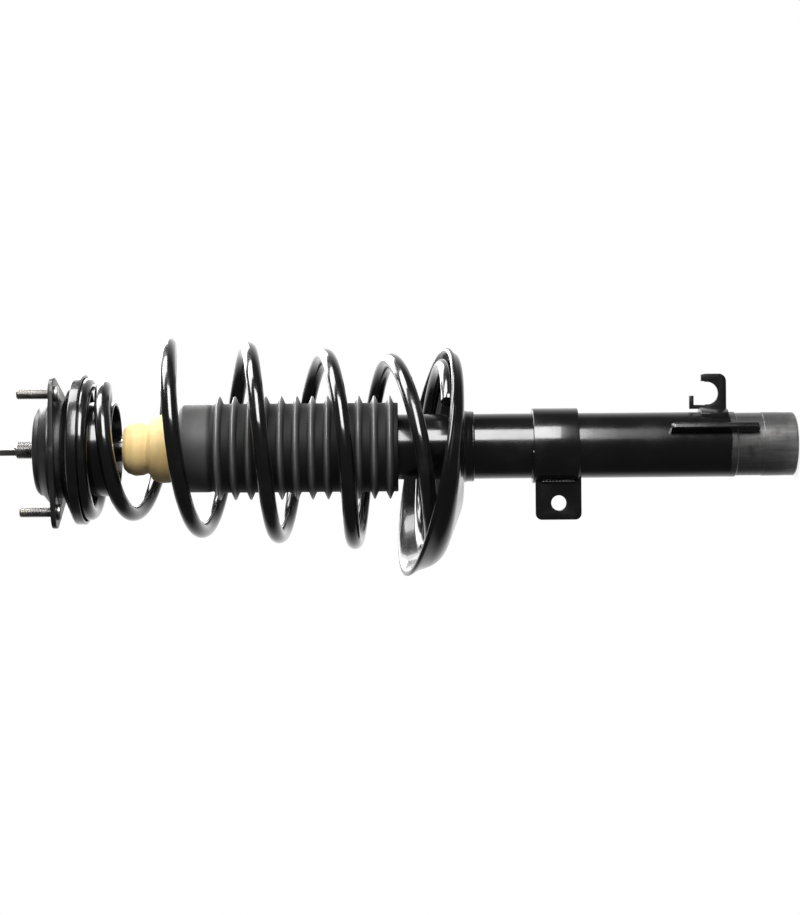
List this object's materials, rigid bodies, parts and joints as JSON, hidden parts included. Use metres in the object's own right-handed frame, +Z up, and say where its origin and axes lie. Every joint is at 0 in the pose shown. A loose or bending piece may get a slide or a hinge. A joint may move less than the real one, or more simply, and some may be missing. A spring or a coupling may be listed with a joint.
{
  "type": "suspension strut assembly",
  "caption": "Front suspension strut with coil spring, dust boot, bump stop and swivelling top mount; the damper tube clamps into a knuckle.",
  "frame": {"origin": "on the strut axis at the lower edge of the clamp land on the damper tube", "axes": "+Z up the strut axis towards the top mount; +X towards the brake hose clip; -X towards the stabiliser link tab"},
  "size_m": [0.192, 0.1838, 0.6378],
  "materials": {
    "gloss_black_paint": "gloss black stove enamel",
    "satin_black_paint": "satin black e-coat",
    "raw_steel": "unpainted steel, lightly oiled",
    "spring_steel": "bright spring steel",
    "bronze": "sintered bronze",
    "pad_rubber": "matte moulded rubber",
    "boot_rubber": "matte moulded rubber",
    "cream_foam": "cream cellular polyurethane",
    "black_plastic": "moulded nylon",
    "zinc_plate": "bright zinc plate",
    "hard_chrome": "ground hard chrome",
    "ptfe_band": "filled PTFE"
  },
  "bodies": {
    "strut_body": {"strut_tube": "gloss_black_paint", "bottom_cap": "raw_steel", "lower_spring_seat": "gloss_black_paint", "lower_spring_pad": "pad_rubber", "coil_spring": "gloss_black_paint", "stabiliser_bracket": "gloss_black_paint", "brake_hose_bracket": "gloss_black_paint", "locating_blade": "gloss_black_paint", "pressure_tube": "raw_steel", "base_valve_body": "raw_steel", "base_valve_discs": "spring_steel", "base_valve_bolt": "raw_steel", "rod_guide": "raw_steel", "rod_guide_bush": "bronze", "rod_seal": "pad_rubber", "seal_garter_spring": "spring_steel", "striker_cap": "raw_steel", "dust_boot": "boot_rubber"},
    "bump_stop": {"bump_stop": "cream_foam"},
    "upper_seat": {"upper_spring_seat": "gloss_black_paint", "upper_spring_pad": "pad_rubber", "bearing_lower_race": "black_plastic", "bearing_seal": "pad_rubber"},
    "bearing_cage": {"bearing_balls": "spring_steel", "bearing_cage_ring": "black_plastic"},
    "top_mount": {"bearing_upper_race": "black_plastic", "mount_plate": "satin_black_paint", "mount_cover": "satin_black_paint", "mount_rubber": "pad_rubber", "mount_inner_sleeve": "raw_steel", "mount_support_washer": "zinc_plate", "mount_studs": "zinc_plate", "rod_washer": "zinc_plate", "rod_nut": "zinc_plate", "piston_rod": "hard_chrome", "bump_stop_cup": "satin_black_paint", "piston": "raw_steel", "piston_band": "ptfe_band", "piston_shims": "spring_steel", "piston_nut": "zinc_plate", "piston_washer": "zinc_plate", "rebound_stop": "pad_rubber"}
  },
  "joints": [
    {"name": "strut_travel", "type": "slide", "parent": "strut_body", "child": "upper_seat", "axis": [0, 0, 1], "range_m": [-0.12, 0], "stiffness_N_per_m": 22000, "springref_m": 0.05, "deforming": ["coil_spring"]},
    {"name": "steering_swivel", "type": "hinge", "parent": "upper_seat", "child": "top_mount", "pos_m": [0, 0, 0.5785], "axis": [0, 0, 1], "range_deg": [-38, 38]},
    {"name": "bearing_roll", "type": "hinge", "parent": "upper_seat", "child": "bearing_cage", "pos_m": [0, 0, 0.5785], "axis": [0, 0, 1], "range_deg": [-19, 19]},
    {"name": "bump_stop_slide", "type": "slide", "parent": "strut_body", "child": "bump_stop", "axis": [0, 0, 1], "range_m": [-0.0906, 0], "deforming": ["dust_boot"]}
  ],
  "couplings": [
    {"joint": "bearing_roll", "follows": "steering_swivel", "ratio": 0.5},
    {"joint": "bump_stop_slide", "follows": "strut_travel", "ratio": 0.755}
  ]
}
